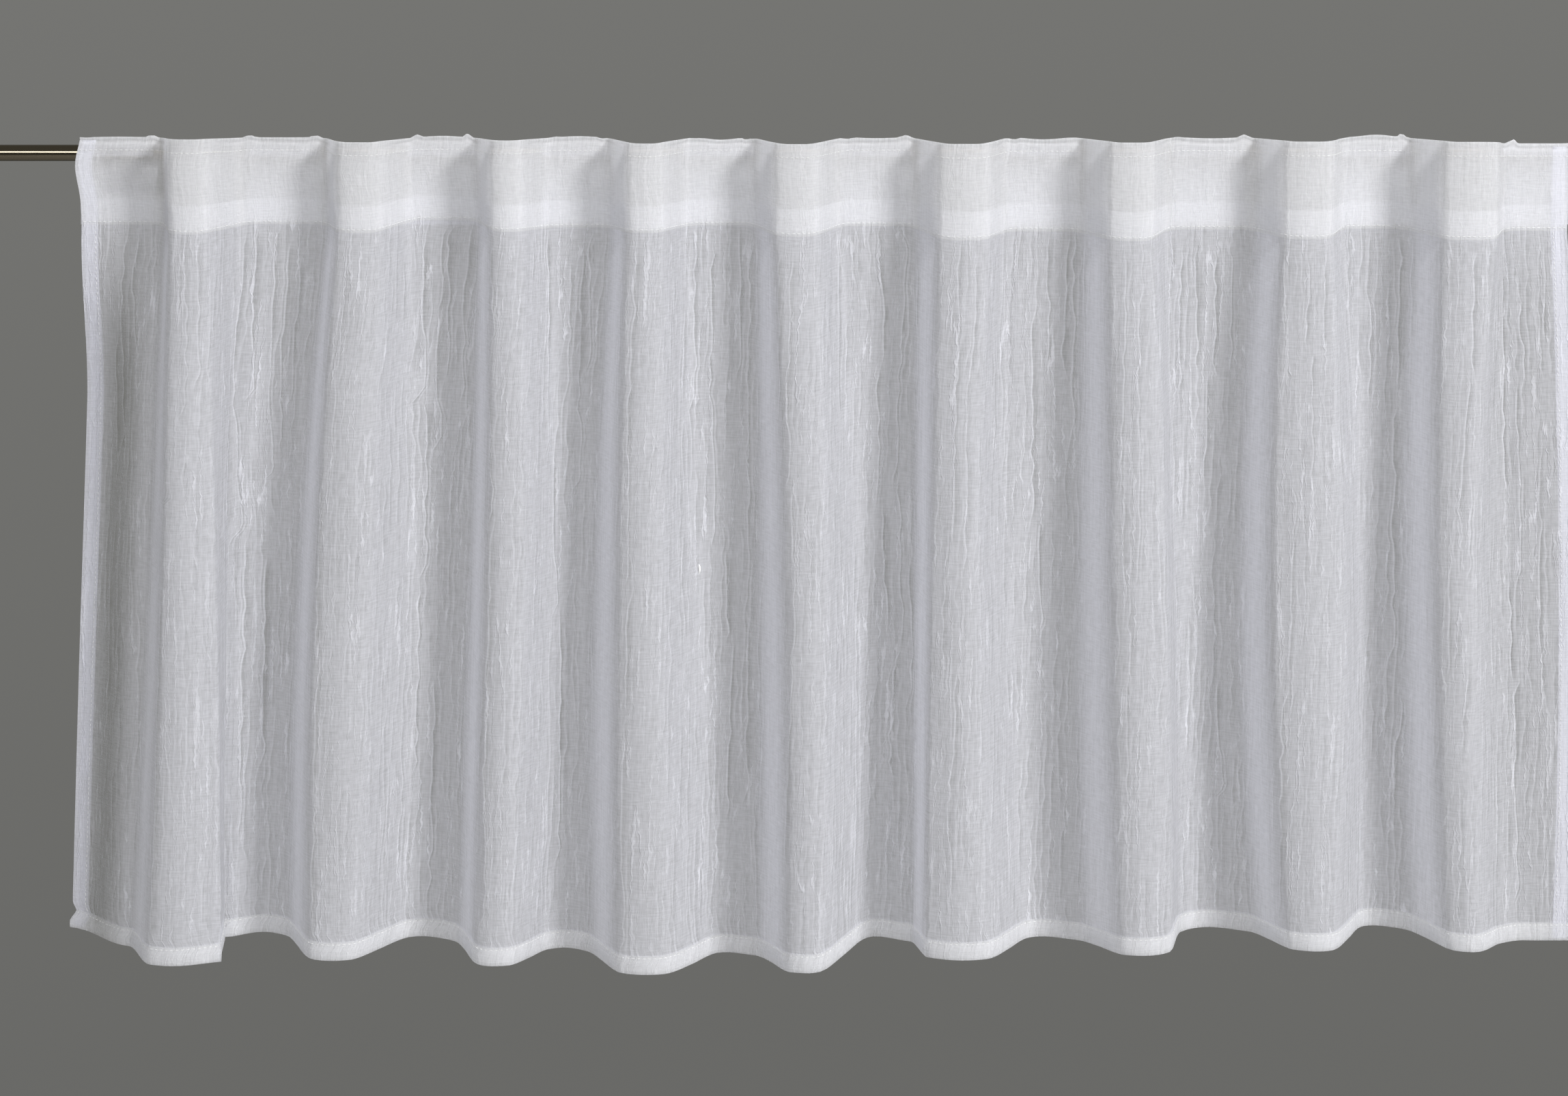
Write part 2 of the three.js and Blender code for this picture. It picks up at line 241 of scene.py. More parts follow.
# The hanging cloth at distances across the flat cloth, a row of them for each level
def hang(across, level):
    line = section(level)
    names = ("x", "y", "z", "forward", "flank", "sheer", "behindX", "behindY")
    places = list(zip(across, line["across"]))
    return {
        name: np.array([np.interp(a, at, row) for (a, at), row in zip(places, line[name])])
        for name in names
    }


# Smooth noise from -1 to 1: random values at whole numbers, eased between them
def latticeNoise(a, b, seed):
    size = 512
    table = np.random.default_rng(seed).uniform(-1, 1, (size, size))
    a, b = np.broadcast_arrays(a, b)
    i = np.floor(a).astype(int)
    j = np.floor(b).astype(int)
    s = ease(a - i)
    t = ease(b - j)
    near = mix(table[i % size, j % size], table[(i + 1) % size, j % size], s)
    far = mix(table[i % size, (j + 1) % size], table[(i + 1) % size, (j + 1) % size], s)
    return mix(near, far, t)


crinkleLook = {
    "spacing": 3.7, "jitter": 0.8, "least": 1.9,     # places of the creases across the cloth
    "wander": (2.4, 28, 50), "kink": (1.2, 9.0),     # how far they stray, over what width and height
    "stroke": 30.0, "often": 0.30, "contrast": 1.5,  # length of strokes, and how much they come and go
    "high": 0.15, "half": 0.45,                      # height and half width of a crease
    "sunk": (-0.3, -0.8),                            # noise below which one is sunk, and its height
    "fade": 12.0,                                    # length over which a main crease starts and ends
    "denseHigh": 0.25,                               # height of a crease that is fully dense
    "open": 0.8, "openShare": 0.9,                   # place and strength of the thin strip beside a crease, drawn thin and darker there as painted shade
    "columns": (-0.7, 0.0, 0.8),                     # mesh columns at each crease
    "swell": (0.8, 30, 170),                         # soft waves of the cloth: height, width, length
    "pucker": (0.22, 3.2, 3.5),                      # pleats at a row of stitches: height, spacing, reach
}

# Main creases, one by one: X and level of the head and the foot of each, and its height
mainCreases = [
    (-424, -52, -420, -125, 0.30), (-432, -60, -430, -175, 0.24), (-437, -120, -436, -200, 0.24),
    (-402, -50, -400, -258, 0.36), (-400, -266, -411, -470, 0.34), (-395, -66, -394, -205, 0.30),
    (-381, -50, -380, -150, 0.24), (-373, -55, -373, -130, 0.26), (-357, -60, -358, -235, 0.24),
    (-358, -242, -363, -420, 0.24), (-349, -52, -349, -150, 0.30), (-346, -255, -349, -380, 0.30),
    (-337, -52, -338, -200, 0.26), (-331, -60, -333, -180, 0.24), (-324, -70, -325, -150, 0.26),
    (-299, -55, -302, -160, 0.36), (-303, -200, -307, -300, 0.34), (-308, -310, -312, -470, 0.32),
    (-290, -60, -289, -125, 0.30), (-292, -132, -296, -190, 0.28), (-246, -60, -243, -150, 0.30),
    (-244, -158, -246, -260, 0.28), (-250, -270, -254, -380, 0.26), (-236, -52, -235, -180, 0.24),
    (-229, -52, -230, -140, 0.26), (-241, -330, -247, -460, 0.26), (-221, -52, -220, -150, 0.26),
    (-206, -60, -203, -136, 0.34), (-199, -55, -197, -110, 0.28), (-201, -144, -199, -215, 0.32),
    (-203, -230, -204, -328, 0.32), (-206, -338, -207, -460, 0.30), (-169, -50, -168, -176, 0.28),
    (-167, -184, -165, -276, 0.26), (-163, -284, -166, -430, 0.32), (-155, -70, -156, -140, 0.26),
    (-149, -60, -149, -200, 0.24), (-143, -52, -143, -130, 0.26), (-122, -50, -123, -150, 0.28),
    (-117, -60, -117, -250, 0.34), (-119, -262, -120, -326, 0.32), (-124, -336, -122, -470, 0.28),
    (-82, -55, -78, -150, 0.26), (-70, -60, -67, -235, 0.26), (-62, -243, -59, -292, 0.28),
    (-57, -300, -60, -400, 0.28), (-52, -52, -51, -130, 0.28), (-46, -60, -46, -270, 0.24),
    (-48, -290, -47, -390, 0.24), (-28, -60, -27, -150, 0.30), (-22, -60, -21, -190, 0.30),
    (-20, -198, -17, -292, 0.32), (-19, -300, -24, -420, 0.30), (8, -50, 8, -150, 0.22),
    (31, -50, 36, -125, 0.30), (33, -133, 34, -212, 0.26), (35, -220, 39, -290, 0.30),
    (50, -52, 44, -200, 0.28), (46, -208, 49, -300, 0.28), (44, -310, 40, -380, 0.26),
    (56, -70, 57, -140, 0.26), (53, -250, 55, -330, 0.26), (76, -52, 80, -100, 0.32),
    (80, -108, 76, -225, 0.34), (73, -233, 70, -300, 0.30), (78, -310, 76, -380, 0.30),
    (73, -388, 78, -440, 0.30), (88, -60, 84, -240, 0.28), (126, -100, 129, -218, 0.28),
    (131, -226, 136, -290, 0.30), (134, -52, 138, -120, 0.26), (147, -52, 145, -130, 0.26),
    (151, -60, 153, -160, 0.26), (158, -52, 158, -130, 0.26), (178, -55, 178, -195, 0.36),
    (177, -203, 181, -260, 0.32), (183, -270, 184, -420, 0.28), (187, -80, 189, -250, 0.28),
    (213, -60, 218, -140, 0.26), (225, -60, 228, -130, 0.28), (238, -60, 236, -130, 0.28),
    (234, -138, 232, -200, 0.26), (247, -60, 249, -130, 0.26), (244, -330, 249, -400, 0.26),
    (288, -60, 286, -108, 0.34), (296, -60, 297, -110, 0.30), (291, -116, 292, -200, 0.34),
    (282, -196, 279, -310, 0.32), (277, -330, 279, -460, 0.32), (287, -208, 288, -290, 0.28),
    (333, -90, 333, -150, 0.26), (350, -52, 350, -140, 0.28), (357, -52, 354, -110, 0.26),
    (347, -160, 353, -310, 0.26), (358, -340, 353, -400, 0.26), (384, -55, 386, -122, 0.36),
    (385, -130, 379, -215, 0.32), (387, -192, 388, -250, 0.26), (376, -250, 378, -310, 0.32),
    (388, -310, 386, -360, 0.30), (386, -380, 387, -470, 0.30), (412, -70, 416, -200, 0.28),
    (423, -90, 427, -132, 0.28), (423, -140, 428, -258, 0.26), (421, -266, 425, -320, 0.30),
    (426, -328, 432, -460, 0.26), (437, -60, 438, -110, 0.26), (440, -220, 441, -300, 0.24),
]


# Place across the cloth of every crease at every level, and its height there in millimetres.
# Creases start evenly spread, stray and kink on their way down and come and go in strokes, some
# raised and some sunk. Each main crease takes over the nearest one from its head to its foot.
def creaseTracks(level):
    down = level[:, None]
    wide, spacing = cloth["flatWide"], crinkleLook["spacing"]
    own = np.arange(int(wide / spacing) - 1)
    base = (own + 1) * spacing + crinkleLook["jitter"] * latticeNoise(own, 0.5, 21)
    far, over, tall = crinkleLook["wander"]
    kink, kinkTall = crinkleLook["kink"]
    kinks = kink * latticeNoise(own, down / kinkTall, 23)
    at = base + far * latticeNoise(base / over, down / tall, 22) + kinks
    strokes = latticeNoise(own, down / crinkleLook["stroke"], 24)
    comes = crinkleLook["often"] + crinkleLook["contrast"] * strokes
    limit, sunk = crinkleLook["sunk"]
    raised = np.where(latticeNoise(own, 7.5, 25) > limit, 1.0, sunk)
    high = crinkleLook["high"] * raised * ease(comes)

    crease = np.array(mainCreases, float)
    fade = crinkleLook["fade"]
    heads, feet = section(crease[:, 1]), section(crease[:, 3])
    for i, (xHead, head, xFoot, foot, rise) in enumerate(crease):
        start = np.interp(xHead, heads["x"][i], heads["across"][i])
        end = np.interp(xFoot, feet["x"][i], feet["across"][i])
        k = np.argmin(np.abs(base - (start + end) / 2))
        line = mix(start, end, np.clip((head - level) / (head - foot), 0, 1)) + kinks[:, k]
        share = ease((head - level) / fade + 0.5) * ease((level - foot) / fade + 0.5)
        at[:, k] = mix(at[:, k], line, share)
        high[:, k] = mix(high[:, k], rise, share)
    order = crinkleLook["least"] * own
    return np.maximum.accumulate(at - order, axis=1) + order, high


# Columns of the mesh: three close ones along each crease
def creaseColumns(level):
    wide = np.full((len(level), 1), cloth["flatWide"])
    close = creaseTracks(level)[0][..., None] + np.array(crinkleLook["columns"])
    return np.hstack([0 * wide, close.reshape(len(level), -1), wide])


# Relief of the creases in millimetres toward the room, each a bell in section, with the soft
# swell of the cloth, and how dense the cloth is there: 1 on a crease, less than 0 beside it, where
# it is drawn thin and its darker strip is painted shade
def crinkle(across, level, calm):
    at, high = creaseTracks(level)
    after = np.array([np.searchsorted(row, a) for row, a in zip(at, across)])
    after = np.clip(after, 1, at.shape[1] - 1)
    before = np.take_along_axis(at, after - 1, 1)
    nearest = after - (across - before < np.take_along_axis(at, after, 1) - across)
    aside = across - np.take_along_axis(at, nearest, 1)
    high = calm * np.take_along_axis(high, nearest, 1)
    half = crinkleLook["half"]
    line = bell(aside / half)
    beside = bell((aside - crinkleLook["open"]) / half)
    denseAndShade = np.abs(high) / crinkleLook["denseHigh"] * (line - crinkleLook["openShare"] * beside)
    tall, wide, long = crinkleLook["swell"]
    swell = tall * latticeNoise(across / wide, level[:, None] / long, 30)
    return high * line + swell, np.clip(denseAndShade, -1, 1)


stitchInset = 1.4  # how far a row of stitches lies inside the edge that it holds
stitchLines = {"loops": 1.4, "seam": -43.0, "hem": hemTop - stitchInset}  # levels of the sewn rows
calmLook = {  # how crinkled the cloth is, from 0 to 1
    "back": 0.9, "front": 0.58,           # on the backs and the fronts of the folds
    "flank": 0.85,                        # how much less on a rising flank
    "heading": 0.28, "seamSoft": 4.0,     # at the heading, and the height over which it changes
    "flankDenseAndLit": 1.1,                    # how much denser a rising flank is made, which also lightens it as painted light
}


# The crinkled cloth at distances across it, a row of them for each level: points, the way out
# of the cloth, and how dense and how crinkled it is; the density carries painted light on rising
# flanks and painted shade where the cloth is made thin. back is how far each row lies behind the
# front layer.
def clothAt(across, level, back):
    hung = hang(across, level)
    down = level[:, None]
    inHeading = ease((down - headingSize["seam"]) / calmLook["seamSoft"])
    crinkled = mix(calmLook["back"], calmLook["front"], hung["forward"])
    crinkled = mix(crinkled, calmLook["heading"], inHeading)
    crinkled = (1 - calmLook["flank"] * hung["flank"]) * crinkled
    relief, densityAndPaintedLight = crinkle(across, level, crinkled)
    high, spacing, reach = crinkleLook["pucker"]
    for row in stitchLines.values():
        relief = relief + high * latticeNoise(across / spacing, row, 40) * bell((down - row) / reach)
    far, over = frill["lineWander"]
    lineAt = headingSize["top"] - frill["line"] + far * latticeNoise(across / over, 0, 41)
    dent = frill["lineDeep"] * bell((down - lineAt) / frill["lineWide"])
    relief = relief - (1 - hung["forward"]) * dent
    away = back[:, None] - relief
    points = np.stack([
        hung["x"] + away * hung["behindX"], hung["y"] + away * hung["behindY"], hung["z"],
    ], axis=-1)
    out = np.stack([-hung["behindX"], -hung["behindY"], 0 * hung["x"]], axis=-1)
    # Rising flanks are made denser, partly painted light that lightens them, and thin places are painted
    # shade
    densityAndPaintedLight = densityAndPaintedLight + calmLook["flankDenseAndLit"] * hung["flank"] - hung["sheer"]
    return points, out, {"densityAndPaintedLight": densityAndPaintedLight, "crinkled": crinkled}


# Mesh object from points in millimetres, quads and flat end caps
def meshPiece(name, points, quads, material, caps=np.zeros((0, 3), int)):
    mesh = bpy.data.meshes.new(name)
    mesh.vertices.add(len(points))
    mesh.vertices.foreach_set("co", (points * mm).astype(np.float32).ravel())
    mesh.loops.add(quads.size + caps.size)
    mesh.loops.foreach_set("vertex_index", np.hstack([quads.ravel(), caps.ravel()]))
    capStarts = quads.size + np.arange(0, caps.size, caps.shape[1])
    starts = np.hstack([np.arange(0, quads.size, 4), capStarts])
    mesh.polygons.add(len(starts))
    mesh.polygons.foreach_set("loop_start", starts)
    mesh.update(calc_edges=True)
    mesh.shade_smooth()
    mesh.materials.append(material)
    piece = bpy.data.objects.new(name, mesh)
    bpy.context.scene.collection.objects.link(piece)
    return piece


# Corners of the quads of a grid, rows downward and columns to the right as seen from outside
def gridQuads(rows, cols, wrap=False):
    index = np.arange(rows * cols).reshape(rows, cols)
    if wrap:
        index = np.hstack([index, index[:, :1]])
    corners = [index[:-1, :-1], index[1:, :-1], index[1:, 1:], index[:-1, 1:]]
    return np.stack(corners, axis=-1).reshape(-1, 4)


# Cloth from a grid of points, with its place on the flat cloth in metres as a UV map and marks
# of how dense and how crinkled it is; the density mark carries painted light and painted shade too
def clothPiece(name, points, flat, marks, material):
    quads = gridQuads(*points.shape[:2])
    piece = meshPiece(name, points.reshape(-1, 3), quads, material)
    layer = piece.data.uv_layers.new(name="cloth")
    place = flat.reshape(-1, 2)[quads.ravel()] * mm
    layer.data.foreach_set("uv", place.astype(np.float32).ravel())
    for mark, values in marks.items():
        data = piece.data.attributes.new(mark, "FLOAT", "POINT").data
        values = np.broadcast_to(values, points.shape[:2])
        data.foreach_set("value", values.astype(np.float32).ravel())
    return piece


def newMaterial(name):
    material = bpy.data.materials.new(name)
    material.use_nodes = True
    material.node_tree.nodes.clear()
    return material, material.node_tree


# Node of a material; inputs that are sockets are linked, other inputs are set
def addNode(tree, kind, inputs=None, **settings):
    node = tree.nodes.new("ShaderNode" + kind)
    for name, value in settings.items():
        setattr(node, name, value)
    for name, value in (inputs or {}).items():
        if isinstance(value, bpy.types.NodeSocket):
            tree.links.new(value, node.inputs[name])
        else:
            node.inputs[name].default_value = value
    return node


def mathNode(tree, operation, a, b=0.0, c=0.0, clamp=False):
    return addNode(tree, "Math", {0: a, 1: b, 2: c}, operation=operation, use_clamp=clamp).outputs[0]


def noiseNode(tree, place, scale, detail=1.0):
    spot = addNode(tree, "Mapping", {"Vector": place, "Scale": scale}).outputs[0]
    return addNode(tree, "TexNoise", {"Vector": spot, "Scale": 1.0, "Detail": detail})


def rangeNode(tree, value, limits):
    low, high = limits
    return addNode(tree, "MapRange", {"Value": value, "To Min": low, "To Max": high}).outputs[0]


def bumpNode(tree, height, strength, distance):
    inputs = {"Height": height, "Strength": strength, "Distance": distance}
    return addNode(tree, "Bump", inputs).outputs["Normal"]


# Colour of the cloth, opacity of a layer between its creases, and the share of the light that
# glows through to the other side, where the cloth is single and where layers are sewn together.
# The sewn look is a whiter, denser and more translucent copy of the same cloth, painted light
# that lightens the shade of the heading and the hems.
singleLook = {"white": (0.886, 0.891, 0.95, 1.0), "opacity": 0.64, "through": 0.40}
sewnPaintedLightLook = {"white": (0.928, 0.931, 0.953, 1.0), "opacity": 0.70, "through": 0.56}
voileLook = {
    "markOpacity": 0.28,        # added with the density mark: along a crease, and as painted light and painted shade where that mark carries them
    "hairOpacity": 0.34,          # added along a hair crinkle
    "streakOpacity": 0.10,        # swing from streak to streak
    "threadOpacity": 0.26,        # swing from thread to gap
    "threads": (1050.0, 140.0),   # in a metre: threads, and thick places along one
    "streaks": (520.0, 14.0),     # in a metre: upright streaks, and their starts and ends
    "hairs": (230.0, 9.0),        # in a metre: hair crinkles, and their turns
    "hairStep": 0.11,             # one hair for every such step of the noise they follow
    "hairThin": 0.028,            # the half width of a hair in that noise
    "hairKink": (210.0, 0.0032),  # kinks in a metre of a hair, and their size in metres
    "hairPatch": (80.0, 10.0),    # in a metre: patches where hairs come and go, across and down
    "hairComes": (0.22, 0.62),    # noise at which hairs start to show, and show in full
    "hairRise": 2.0,              # height of a hair over that of a thread
    "streakRise": 0.5,            # height of a streak over that of a thread
}


# Hair crinkles: thin lines of equal height on a noise that is drawn out upright and kinked.
# They come and go, and are strong where the cloth is crinkled.
def hairNode(tree, place):
    kinks, far = voileLook["hairKink"]
    kinked = noiseNode(tree, place, (kinks, kinks, 1.0)).outputs["Fac"]
    shift = mathNode(tree, "MULTIPLY_ADD", kinked, far, -far / 2)
    aside = addNode(tree, "CombineXYZ", {"X": shift}).outputs[0]
    moved = addNode(tree, "VectorMath", {0: place, 1: aside}, operation="ADD").outputs[0]
    slope = noiseNode(tree, moved, (*voileLook["hairs"], 1.0), 1.5).outputs["Fac"]
    away = mathNode(tree, "PINGPONG", slope, voileLook["hairStep"])
    line = addNode(tree, "MapRange", {
        "Value": away, "From Max": voileLook["hairThin"], "To Min": 1.0, "To Max": 0.0,
    }, interpolation_type="SMOOTHSTEP").outputs[0]
    comes = noiseNode(tree, place, (*voileLook["hairPatch"], 1.0)).outputs["Fac"]
    least, full = voileLook["hairComes"]
    strong = addNode(tree, "MapRange", {"Value": comes, "From Min": least, "From Max": full}).outputs[0]
    crinkled = addNode(tree, "Attribute", attribute_name="crinkled").outputs["Fac"]
    return mathNode(tree, "MULTIPLY", mathNode(tree, "MULTIPLY", line, strong), crinkled)


# Sheer voile. Slubby threads both ways and faint upright streaks make it more and less open,
# creases and hair crinkles make it denser, and the density mark adds painted light on rising
# flanks and painted shade where the cloth is made thin.
def voileMaterial(name, white, opacity, through):
    material, tree = newMaterial(name)
    place = addNode(tree, "UVMap", uv_map="cloth").outputs["UV"]
    fine, slub = voileLook["threads"]
    warp = noiseNode(tree, place, (fine, slub, 1.0)).outputs["Fac"]
    weft = noiseNode(tree, place, (slub, fine, 1.0)).outputs["Fac"]
    threads = mathNode(tree, "MULTIPLY_ADD", mathNode(tree, "ADD", warp, weft), 0.5, 0.0)
    streaks = noiseNode(tree, place, (*voileLook["streaks"], 1.0), 2.0).outputs["Fac"]

    hairs = hairNode(tree, place)
    # Density mark: creases, with painted light and painted shade in it
    densityAndPaintedLight = addNode(tree, "Attribute", attribute_name="densityAndPaintedLight").outputs["Fac"]
    opacity = mathNode(tree, "MULTIPLY_ADD", densityAndPaintedLight, voileLook["markOpacity"], opacity)
    opacity = mathNode(tree, "MULTIPLY_ADD", hairs, voileLook["hairOpacity"], opacity)
    for pattern, part in ((threads, "threadOpacity"), (streaks, "streakOpacity")):
        swing = voileLook[part]
        centred = mathNode(tree, "MULTIPLY_ADD", pattern, 2 * swing, -swing)
        opacity = mathNode(tree, "ADD", opacity, centred, clamp=True)

    height = mathNode(tree, "MULTIPLY_ADD", streaks, voileLook["streakRise"], threads)
    height = mathNode(tree, "MULTIPLY_ADD", hairs, voileLook["hairRise"], height)
    bump = bumpNode(tree, height, 0.6, 0.0004)
    face = addNode(tree, "BsdfPrincipled", {
        "Base Color": white, "Roughness": 0.9, "Specular IOR Level": 0.25,
        "Sheen Weight": 0.1, "Sheen Roughness": 0.5, "Normal": bump,
    }).outputs[0]
    glow = addNode(tree, "BsdfTranslucent", {"Color": white, "Normal": bump}).outputs[0]
    body = addNode(tree, "MixShader", {"Fac": through, 1: face, 2: glow}).outputs[0]
    gaps = addNode(tree, "BsdfTransparent").outputs[0]
    sheer = addNode(tree, "MixShader", {"Fac": opacity, 1: gaps, 2: body}).outputs[0]
    addNode(tree, "OutputMaterial", {"Surface": sheer})
    return material


threadLook = {"twist": (2600.0, 2600.0, 900.0), "tone": (0.74, 0.88)}


# Sewing thread: opaque white with a soft shine and a twist that shows as fine marks
def threadMaterial():
    material, tree = newMaterial("sewingThread")
    place = addNode(tree, "TexCoord").outputs["Object"]
    twist = noiseNode(tree, place, threadLook["twist"]).outputs["Fac"]
    tone = rangeNode(tree, twist, threadLook["tone"])
    colour = addNode(tree, "CombineColor", {"Red": tone, "Green": tone, "Blue": tone}).outputs[0]
    bump = bumpNode(tree, twist, 0.4, 0.0001)
    face = addNode(tree, "BsdfPrincipled", {
        "Base Color": colour, "Roughness": 0.45, "Sheen Weight": 0.2, "Normal": bump,
    }).outputs[0]
    addNode(tree, "OutputMaterial", {"Surface": face})
    return material


steelLook = {
    "lines": (14.0, 2600.0, 2600.0),  # in a metre: drawn lines, long along the rod
    # tone, green and blue: the steel made dark and warm as a painted reflection of a dark brown room
    "tone": (0.18, 0.235), "green": 0.86, "blue": 0.62,
    "rough": (0.07, 0.11),
}


# Satin steel: drawn lines along the rod make its colour and its shine uneven. Its colour is made dark and
# warm, a painted reflection of a dark brown room.
def steelMaterial():
    material, tree = newMaterial("satinSteel")
    place = addNode(tree, "TexCoord").outputs["Object"]
    drawn = noiseNode(tree, place, steelLook["lines"], 3.0).outputs["Fac"]
    tone = rangeNode(tree, drawn, steelLook["tone"])
    green = mathNode(tree, "MULTIPLY", tone, steelLook["green"])
    blue = mathNode(tree, "MULTIPLY", tone, steelLook["blue"])
    toneAndPaintedReflection = addNode(tree, "CombineColor", {"Red": tone, "Green": green, "Blue": blue}).outputs[0]
    rough = rangeNode(tree, drawn, steelLook["rough"])
    bump = bumpNode(tree, drawn, 0.15, 0.0001)
    face = addNode(tree, "BsdfPrincipled", {
        "Base Color": toneAndPaintedReflection, "Metallic": 1.0, "Roughness": rough, "Normal": bump,
    }).outputs[0]
    addNode(tree, "OutputMaterial", {"Surface": face})
    return material


voile = voileMaterial("voile", **singleLook)
sewnPaintedLightVoile = voileMaterial("sewnPaintedLightVoile", **sewnPaintedLightLook)
sewingThread = threadMaterial()
satinSteel = steelMaterial()
print("materials made")


# Length of the way along a path of levels and distances behind the front layer
def travel(level, back):
    return np.cumsum(np.hstack([0, np.hypot(np.diff(level), np.diff(back))]))


# Layers of cloth along a path of levels, one column of faces to the right of another, or to the
# left where the path starts upward
def layers(name, level, back, material, leftward=False):
    across = creaseColumns(level)
    if leftward:
        across = across[:, ::-1]
    points, _, marks = clothAt(across, level, back)
    flat = np.stack(np.broadcast_arrays(across, travel(level, back)[:, None]), axis=-1)
    return clothPiece(name, points, flat, marks, material)


panelLook = {"rows": 100}
level = np.linspace(headingSize["seam"], hemTop, panelLook["rows"])
voilePanel = layers("voilePanel", level, 0 * level, voile)
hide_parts("panel")
print("panel made,", len(voilePanel.data.polygons), "faces")

headingLook = {
    "rows": 11, "frillRows": 12, "turnRows": 6,  # rows of the mesh
    "roll": 0.8,                                 # height of the rolled top
    "turnedIn": 16.0, "turnGap": 0.4,            # edge turned in above the seam, and its start
}
rollSteps = np.linspace(0, np.pi, 7)[1:-1]  # angles round a rolled edge


# Path of the heading as seen from its end: up the front, over the rolled top, down the back and
# turned in at the seam
def headingPath():
    roll = headingLook["roll"]
    top = headingSize["top"] - roll
    seam = headingSize["seam"]
    layer = cloth["layer"]
    low = np.linspace(seam, top - frill["tall"], headingLook["rows"])
    front = np.hstack([low, np.linspace(top - frill["tall"], top, headingLook["frillRows"])[1:]])
    down = np.linspace(top, seam, headingLook["rows"])
    turned = np.linspace(headingLook["turnGap"], headingLook["turnedIn"], headingLook["turnRows"])
    inside = seam + turned
    level = np.hstack([front, top + roll * np.sin(rollSteps), down, inside])
    over = layer * (1 - np.cos(rollSteps))
    back = np.hstack([0 * front, over, 0 * down + 2 * layer, 0 * inside + layer])
    return level, back


heading = layers("heading", *headingPath(), sewnPaintedLightVoile, leftward=True)
print("heading made,", len(heading.data.polygons), "faces")

hemLook = {
    "rows": 6, "roll": 0.7, "puff": 0.5,  # rows of the mesh, height of the rolled foot, fullness
    "turnGap": 0.3, "short": 1.0,         # how far the edge turned in starts and ends from the others
}


# Path of the bottom hem: down the front, round the foot, up behind and turned in again
def hemPath():
    roll = hemLook["roll"]
    foot = hemSize["foot"] + roll
    layer = cloth["layer"]
    down = np.linspace(hemTop, foot, hemLook["rows"])
    puff = hemLook["puff"] * hump((hemTop - down) / (hemTop - foot))
    inside = np.linspace(hemTop - hemLook["turnGap"], foot + hemLook["short"], hemLook["rows"])
    level = np.hstack([down, foot - roll * np.sin(rollSteps), down[::-1], inside])
    back = np.hstack([-puff, layer * (1 - np.cos(rollSteps)), 2 * layer + puff, 0 * inside + layer])
    return level, back


bottomHem = layers("bottomHem", *hemPath(), sewnPaintedLightVoile)
print("bottom hem made,", len(bottomHem.data.polygons), "faces")

sideHemLook = {
    "wide": 10.0, "rows": 160, "short": 1.5,  # short: how far it ends inside the top and the foot
    "columns": (0.2, 0.6, 0.97, 1.0, 0.97, 0.6, 0.3, 0.0, 0.0),  # shares of its width from the edge
    "behind": (0.5, 0.5, 0.5, 1.0, 1.5, 1.5, 1.5, 1.5, 0.0),     # layers behind the front
}


# Side hem: from its raw edge inside, turned at its full width and brought to the edge of the
# cloth behind the front layer. Worked out as columns of the cloth, each at its own distance
# behind it.
def sideHem(name, onRight):
    fromEdge = sideHemLook["wide"] * np.array(sideHemLook["columns"])
    back = cloth["layer"] * np.array(sideHemLook["behind"])
    if onRight:
        fromEdge = cloth["flatWide"] - fromEdge[::-1]
        back = back[::-1]
    short = sideHemLook["short"]
    level = np.linspace(headingSize["top"] - short, hemSize["foot"] + short, sideHemLook["rows"])
    across = np.tile(fromEdge, (len(level), 1))
    points, out, marks = clothAt(across, level, 0 * level)
    points = points - back[None, :, None] * out
    flat = np.stack(np.broadcast_arrays(across, level[:, None]), axis=-1)
    return clothPiece(name, points, flat, marks, voile)


sideHems = [sideHem("sideHemLeft", False), sideHem("sideHemRight", True)]
print("side hems made")

loopLook = {
    "wide": 45.0, "overhang": 1.5,                       # width, and how far the end ones stand out
    "radius": 5.8, "outer": 6.3, "clear": 0.5,           # round the rod, and its room behind the heading
    "stitch": -2.0, "foot": -33.0, "lie": 5.0, "end": -43.5,  # levels where it is sewn, lies down and ends
    "columns": 24, "arc": 22, "reach": 12,               # columns and rows of the mesh
    "wavy": (0.5, 9.0), "ripple": (0.15, 6.0, 14.0),     # unevenness of the edges and the face
}


# Path of a loop as seen from its end: up between heading and rod, over the rod and down behind
# it, then forward to lie on the heading above its seam. hold is 1 where the loop is sewn down
# and follows the heading's folds, 0 where the rod draws it straight.
def loopPath():
    radius, foot = loopLook["radius"], loopLook["foot"]
    leave = math.atan2(foot, -radius) + math.acos(radius / math.hypot(foot, radius))
    angle = np.linspace(np.pi, leave, loopLook["arc"])
    t = np.linspace(0, 1, loopLook["reach"] + 1)[1:]
    y = radius * np.cos(angle)
    z = radius * np.sin(angle)
    hold = ease(2 * angle / np.pi - 1)
    y = np.hstack([-radius, y, mix(y[-1], -radius, t), -radius, -radius])
    z = np.hstack([loopLook["stitch"], z, mix(z[-1], foot, t), foot - loopLook["lie"], loopLook["end"]])
    return y, z, np.hstack([1, hold, ease(t), 1, 1])


